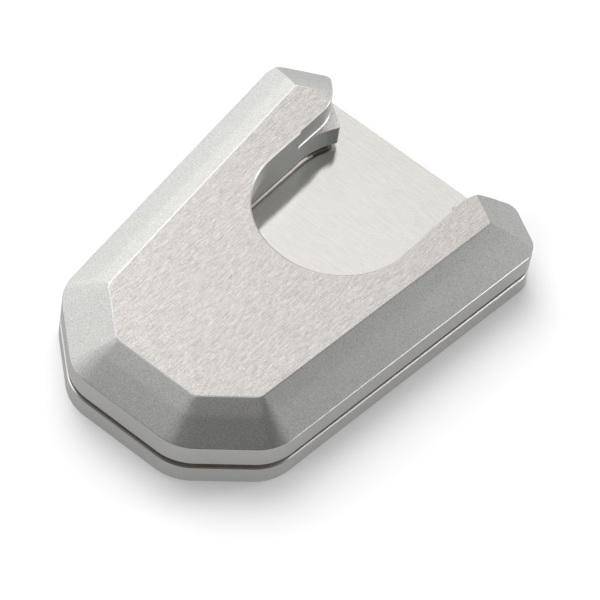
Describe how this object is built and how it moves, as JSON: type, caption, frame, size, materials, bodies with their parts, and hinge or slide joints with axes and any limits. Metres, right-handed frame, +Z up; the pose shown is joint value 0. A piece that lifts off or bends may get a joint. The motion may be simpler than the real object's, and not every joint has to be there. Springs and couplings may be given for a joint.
{
  "type": "kickstand foot enlarger",
  "caption": "Two-part machined pad that clamps round a motorcycle side stand's foot, with an open-ended pocket and bevelled edges, to spread the load on soft ground.",
  "frame": {"origin": "middle of the underside, on the ground", "axes": "+Z up, +Y from the nose towards the open mouth of the pocket, +X to the right seen from above with the mouth up"},
  "size_m": [0.0754, 0.1016, 0.0179],
  "materials": {
    "aluminium_body": "brushed top, satin slopes",
    "aluminium_plate": "brushed",
    "steel_screws": "satin"
  },
  "bodies": {
    "root": {"upper_body": "aluminium_body", "base_plate": "aluminium_plate", "countersunk_screws": "steel_screws"}
  },
  "joints": []
}
